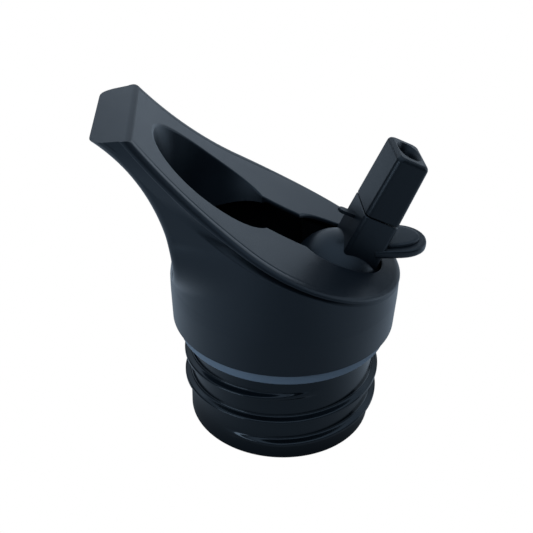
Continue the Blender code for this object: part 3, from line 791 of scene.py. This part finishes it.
def build_rotor():
    """Ball, neck, stem, paddle and tongue in one moulding, with the drinking bore through it."""
    rotor = ball("spout_body", BALL_R, BALL_FLAT)
    r = 1.1 * MM
    neck_rows = ((2.0 * MM, 0.0), (SEAM_S - GAP - 0.15 * MM, 0.0), (SEAM_S - GAP, 0.12 * MM))
    neck = [box_ring(s, NECK_BACK + i, neck_front(s) - i, NECK_W - i, r) for s, i in neck_rows]
    stem = [box_ring(s, -STEM[0], STEM[0], STEM[1], 2.0 * MM) for s in (SEAM_S - 3.0 * MM, STEM_S)]
    under, over = PADDLE_TOP_Z - PADDLE_T, PADDLE_TOP_Z
    levels = [
        (-0.75 * MM, under), (-0.35 * MM, under + 0.1 * MM),
        (-0.08 * MM, under + 0.4 * MM), (0.0, under + 0.8 * MM),
        (0.0, over - 0.6 * MM), (-0.1 * MM, over - 0.25 * MM),
        (-0.3 * MM, over - 0.07 * MM), (-0.6 * MM, over),
    ]
    plate = slab("plate", levels, PADDLE_X[0])
    length, thick, wide = TONGUE
    tongue = []
    for k in range(5):
        a = math.pi * k / 4
        s, half = TONGUE_S - thick / 2 * math.cos(a), wide / 2
        reach = length - 0.25 * MM * (1 - math.sin(a))
        ring = [spout_point(s, NECK_BACK + MM, half)]
        for i in range(13):
            b = math.pi * (0.5 - i / 12)
            ring.append(spout_point(s, NECK_BACK - reach + half - half * math.cos(b), half * math.sin(b)))
        ring.append(spout_point(s, NECK_BACK + MM, -half))
        tongue.append(ring)
    tools = [make_object("neck", *bridge(neck)), make_object("stem", *bridge(stem)), plate,
             make_object("tongue", *bridge(tongue))]
    combine(rotor, tools, "UNION")
    bore = [oval_ring(s, *BORE) for s in (-0.5 * MM, STEM_S + MM)]
    low = PIVOT.z - BALL_R - MM
    port = [(0.0, low), (PORT_R, low), (PORT_R, PIVOT.z), (0.0, PIVOT.z)]
    cutters = [make_object("drink", *bridge(bore)), turned("port", port, 32, (PIVOT.x, PIVOT.y), False)]
    for side in (-1, 1):
        cutters.append(pin_bar("pin_hole", PIN_HOLE_R, PIN_INNER_Y - GAP, BALL_R + MM, side))
    return weighted_normals(combine(rotor, cutters, "DIFFERENCE"))


def pin_bar(name, radius, y_in, y_out, side):
    angles = [2 * math.pi * i / 32 for i in range(32)]
    rings = []
    for y in (y_in, y_out):
        rings.append([PIVOT + Vector((radius * math.cos(a), side * y, radius * math.sin(a))) for a in angles])
    return make_object(name, *bridge(rings))


def build_mouthpiece():
    """Soft sleeve with rounded edges and an oval drinking hole sunk in a funnel."""
    centre = (NECK_BACK + NECK_FRONT) / 2
    r = 1.25 * MM
    rows = [(SEAM_S, 0.12), (SEAM_S + 0.15 * MM, 0.0), (SEAM_S + 5.0 * MM, 0.0), (TIP_S - 1.1 * MM, 0.0)]
    for i in range(1, 7):
        a = math.pi / 2 * i / 6
        rows.append((TIP_S - 1.1 * MM + 1.1 * MM * math.sin(a), 0.9 * (1 - math.cos(a))))
    body = [box_ring(s, NECK_BACK + i * MM, neck_front(s) - i * MM, NECK_W - i * MM, r) for s, i in rows]
    piece = make_object("mouthpiece_sleeve", *bridge(body))
    depth, width = STEM[0] + GAP, STEM[1] + GAP
    socket = [box_ring(s, -depth, depth, width, 2.0 * MM) for s in (SEAM_S - MM, STEM_S + GAP)]
    funnel = [oval_ring(STEM_S - MM, 1.7 * MM, 2.8 * MM, centre)]
    for sunk, u, v in FUNNEL:
        funnel.append(oval_ring(TIP_S - sunk * MM, u * MM, v * MM, centre, power=2.3))
    tools = [make_object("socket", *bridge(socket)), make_object("funnel", *bridge(funnel))]
    return weighted_normals(combine(piece, tools, "DIFFERENCE"))


def build_thumb_pad():
    """Soft pad with a rolled edge on the paddle."""
    z = PADDLE_TOP_Z + 0.05 * MM
    edge = ((-1.7, 0.0), (-1.7, 0.35), (-1.8, 0.55), (-2.1, 0.68), (-2.6, 0.7))
    levels = [(grow * MM, z + rise * MM) for grow, rise in edge]
    return slab("pad_insert", levels, 23.4 * MM)


# Finishes


def plastic(name, colour, roughness, grain, grain_depth, tint=(1.0, 1.0, 1.0)):
    """Moulded plastic, silicone or steel: cloudy tone and sheen over a fine grain."""
    mat = bpy.data.materials.new(name)
    mat.use_nodes = True
    nodes, links = mat.node_tree.nodes, mat.node_tree.links
    shader = nodes["Principled BSDF"]
    coords = nodes.new("ShaderNodeTexCoord")
    cloud = nodes.new("ShaderNodeTexNoise")
    cloud.inputs["Scale"].default_value = 90.0
    cloud.inputs["Detail"].default_value = 4.0
    links.new(coords.outputs["Object"], cloud.inputs["Vector"])
    tone = nodes.new("ShaderNodeMapRange")
    tone.inputs["To Min"].default_value = 0.88
    tone.inputs["To Max"].default_value = 1.12
    links.new(cloud.outputs["Fac"], tone.inputs["Value"])
    base = nodes.new("ShaderNodeVectorMath")
    base.operation = "SCALE"
    base.inputs[0].default_value = colour
    links.new(tone.outputs["Result"], base.inputs["Scale"])
    links.new(base.outputs["Vector"], shader.inputs["Base Color"])
    sheen = nodes.new("ShaderNodeMapRange")
    sheen.inputs["To Min"].default_value = roughness - 0.04
    sheen.inputs["To Max"].default_value = roughness + 0.04
    links.new(cloud.outputs["Fac"], sheen.inputs["Value"])
    links.new(sheen.outputs["Result"], shader.inputs["Roughness"])
    shader.inputs["Specular Tint"].default_value = (*tint, 1.0)
    fine = nodes.new("ShaderNodeTexNoise")
    fine.inputs["Scale"].default_value = grain
    fine.inputs["Detail"].default_value = 3.0
    links.new(coords.outputs["Object"], fine.inputs["Vector"])
    bump = nodes.new("ShaderNodeBump")
    bump.inputs["Strength"].default_value = 1.0
    bump.inputs["Distance"].default_value = grain_depth
    links.new(fine.outputs["Fac"], bump.inputs["Height"])
    links.new(bump.outputs["Normal"], shader.inputs["Normal"])
    return mat


def show(obj, body, slot, mat, *nodes):
    """Gives a finished piece its finish and its body, and hides the CAD nodes it stands for."""
    obj.data.materials.clear()
    obj.data.materials.append(mat)
    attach(obj, body)
    for node in nodes:
        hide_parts(node)
    return obj


def dress(node, mat):
    obj = frame["nodes"][node]
    obj.data.materials.clear()
    obj.data.materials.append(mat)


# Room, light and camera


def floor_material():
    """Plain white to the camera; to all else a glowing table that stands in for light bounced off it, dimmer
    in front, with a painted shadow under the cap.
    """
    mat = bpy.data.materials.new("white_floor")
    mat.use_nodes = True
    nodes, links = mat.node_tree.nodes, mat.node_tree.links
    nodes.clear()
    out = nodes.new("ShaderNodeOutputMaterial")
    seen = nodes.new("ShaderNodeEmission")
    seen.inputs["Color"].default_value = (1.0, 1.0, 1.0, 1.0)
    glow = nodes.new("ShaderNodeEmission")
    glow.inputs["Color"].default_value = (*COOL, 1.0)
    place = nodes.new("ShaderNodeTexCoord")
    split = nodes.new("ShaderNodeSeparateXYZ")
    links.new(place.outputs["Object"], split.inputs["Vector"])
    level = nodes.new("ShaderNodeMapRange")
    level.interpolation_type = "SMOOTHSTEP"
    level.inputs["From Min"].default_value = -60 * MM
    level.inputs["From Max"].default_value = 60 * MM
    level.inputs["To Min"].default_value = FLOOR_FRONT
    level.inputs["To Max"].default_value = FLOOR_BACK
    links.new(split.outputs["Y"], level.inputs["Value"])
    reach = nodes.new("ShaderNodeVectorMath")
    reach.operation = "LENGTH"
    links.new(place.outputs["Object"], reach.inputs[0])
    # painted shadow: the table's glow fades to 0.3 under and around the cap
    shade = nodes.new("ShaderNodeMapRange")
    shade.interpolation_type = "SMOOTHSTEP"
    shade.inputs["From Min"].default_value = 23 * MM
    shade.inputs["From Max"].default_value = 33 * MM
    shade.inputs["To Min"].default_value = 0.3
    links.new(reach.outputs["Value"], shade.inputs["Value"])
    aside = nodes.new("ShaderNodeMath")
    aside.operation = "ABSOLUTE"
    links.new(split.outputs["X"], aside.inputs[0])
    sides = nodes.new("ShaderNodeMapRange")
    sides.interpolation_type = "SMOOTHSTEP"
    sides.inputs["From Min"].default_value = 20 * MM
    sides.inputs["From Max"].default_value = 60 * MM
    sides.inputs["To Min"].default_value = 1.0
    sides.inputs["To Max"].default_value = FLOOR_SIDES
    links.new(aside.outputs["Value"], sides.inputs["Value"])
    spread = nodes.new("ShaderNodeMath")
    spread.operation = "MULTIPLY"
    links.new(level.outputs["Result"], spread.inputs[0])
    links.new(sides.outputs["Result"], spread.inputs[1])
    strength = nodes.new("ShaderNodeMath")
    strength.operation = "MULTIPLY"
    links.new(spread.outputs["Value"], strength.inputs[0])
    links.new(shade.outputs["Result"], strength.inputs[1])
    links.new(strength.outputs["Value"], glow.inputs["Strength"])
    mix = nodes.new("ShaderNodeMixShader")
    path = nodes.new("ShaderNodeLightPath")
    links.new(path.outputs["Is Camera Ray"], mix.inputs["Fac"])
    links.new(glow.outputs["Emission"], mix.inputs[1])
    links.new(seen.outputs["Emission"], mix.inputs[2])
    links.new(mix.outputs["Shader"], out.inputs["Surface"])
    return mat


def build_floor():
    size = 1.2
    mesh = bpy.data.meshes.new("floor")
    corners = [(-size, -size, 0), (size, -size, 0), (size, size, 0), (-size, size, 0)]
    mesh.from_pydata(corners, [], [(0, 1, 2, 3)])
    mesh.materials.append(floor_material())
    obj = bpy.data.objects.new("floor", mesh)
    obj.location.z = -0.2 * MM
    bpy.context.scene.collection.objects.link(obj)


def panel(name, azimuth, elevation, height, power):
    """A soft panel aimed at the object; azimuth 0 is on the camera's side and 90 on the right."""
    data = bpy.data.lights.new(name, "AREA")
    data.shape = "RECTANGLE"
    data.size, data.size_y = 0.33, height
    data.energy = power
    data.color = PANEL_TINT
    obj = bpy.data.objects.new(name, data)
    a, e = math.radians(azimuth), math.radians(elevation)
    away = Vector((math.sin(a) * math.cos(e), -math.cos(a) * math.cos(e), math.sin(e)))
    obj.location = Vector((0.0, 0.0, 45 * MM)) + away * 0.6
    obj.rotation_euler = away.to_track_quat("Z", "Y").to_euler()
    bpy.context.scene.collection.objects.link(obj)


def build_world():
    """White to the camera; to all else a dim cool room that brightens overhead."""
    world = bpy.data.worlds.new("studio")
    bpy.context.scene.world = world
    world.use_nodes = True
    nodes, links = world.node_tree.nodes, world.node_tree.links
    nodes.clear()
    out = nodes.new("ShaderNodeOutputWorld")
    seen = nodes.new("ShaderNodeBackground")
    seen.inputs["Color"].default_value = (1.0, 1.0, 1.0, 1.0)
    room = nodes.new("ShaderNodeBackground")
    room.inputs["Color"].default_value = (*COOL, 1.0)
    place = nodes.new("ShaderNodeTexCoord")
    split = nodes.new("ShaderNodeSeparateXYZ")
    links.new(place.outputs["Generated"], split.inputs["Vector"])
    level = nodes.new("ShaderNodeMapRange")
    level.interpolation_type = "SMOOTHSTEP"
    level.inputs["From Min"].default_value = 0.35
    level.inputs["From Max"].default_value = 1.0
    level.inputs["To Min"].default_value = ROOM
    level.inputs["To Max"].default_value = OVERHEAD
    links.new(split.outputs["Z"], level.inputs["Value"])
    links.new(level.outputs["Result"], room.inputs["Strength"])
    mix = nodes.new("ShaderNodeMixShader")
    path = nodes.new("ShaderNodeLightPath")
    links.new(path.outputs["Is Camera Ray"], mix.inputs["Fac"])
    links.new(room.outputs["Background"], mix.inputs[1])
    links.new(seen.outputs["Background"], mix.inputs[2])
    links.new(mix.outputs["Shader"], out.inputs["Surface"])


def build_lights():
    build_world()
    for settings in PANELS:
        panel(*settings)


def build_camera():
    """Camera a little to the handle's side, well above the horizon and close by."""
    azimuth, elevation, roll = math.radians(4.9), math.radians(31.5), math.radians(1.5)
    distance = 210.0 * MM
    level_share = math.cos(elevation)
    back = Vector((-math.sin(azimuth) * level_share, -math.cos(azimuth) * level_share, math.sin(elevation)))
    level = Vector((math.cos(azimuth), -math.sin(azimuth), 0.0))
    rise = back.cross(level)
    right = level * math.cos(roll) + rise * math.sin(roll)
    up = back.cross(right)
    place = Vector((0.0, 0.0, 39.7 * MM)) + back * distance - right * 4.3 * MM
    data = bpy.data.cameras.new("camera")
    data.sensor_width = 36.0
    data.lens = 59.9
    data.clip_start = 0.01
    obj = bpy.data.objects.new("camera", data)
    obj.matrix_world = Matrix((
        (right.x, up.x, back.x, place.x), (right.y, up.y, back.y, place.y),
        (right.z, up.z, back.z, place.z), (0.0, 0.0, 0.0, 1.0),
    ))
    bpy.context.scene.collection.objects.link(obj)
    bpy.context.scene.camera = obj


def main():
    cool = (0.75, 0.88, 1.0)
    shell_mat = plastic("moulded_shell", (0.007, 0.0105, 0.015), 0.36, 5200.0, 0.02 * MM, cool)
    plug_mat = plastic("glossy_plug", (0.004, 0.0065, 0.009), 0.15, 900.0, 0.0004 * MM, cool)
    soft_mat = plastic("soft_silicone", (0.006, 0.009, 0.012), 0.4, 3800.0, 0.02 * MM, (0.6, 0.7, 0.8))
    # the pad's silicone, lighter than the same black silicone on the mouthpiece: painted light on its
    # upturned top
    pad_lit_silicone_mat = plastic("pad_silicone_painted_light", (0.014, 0.019, 0.025), 0.4, 3800.0, 0.02 * MM, cool)
    # near-black cradle: its own black plastic, made darker still and less reflective as painted shade for the
    # cavity seen through the opening
    cradle_shade_mat = plastic("cradle_plastic_painted_shade", (0.002, 0.003, 0.004), 0.6, 3800.0, 0.02 * MM, (0.3, 0.35, 0.4))
    gasket_mat = plastic("gasket_silicone", (0.15, 0.205, 0.27), 0.5, 3000.0, 0.02 * MM)
    steel_mat = plastic("pin_steel_finish", (0.5, 0.5, 0.52), 0.3, 2500.0, 0.006 * MM)
    show(build_shell(), "cap_body", "shell_matte_black", shell_mat, "cap_shell")
    show(build_plug(), "cap_body", "plug_gloss_black", plug_mat, "thread_plug")
    show(build_gasket(), "cap_body", "gasket_blue_grey", gasket_mat, "bottle_gasket")
    show(build_rotor(), "spout", "shell_matte_black", shell_mat, "spout_rotor")
    show(build_mouthpiece(), "spout", "silicone_black", soft_mat, "mouthpiece")
    show(build_thumb_pad(), "spout", "silicone_black", pad_lit_silicone_mat, "thumb_pad")
    dress("rotor_cradle", cradle_shade_mat)
    dress("seat_seal", soft_mat)
    dress("vent_valve", soft_mat)
    dress("pivot_pin_near", steel_mat)
    dress("pivot_pin_far", steel_mat)
    build_floor()
    build_lights()
    build_camera()
    view = bpy.context.scene.view_settings
    view.view_transform = "Standard"


main()
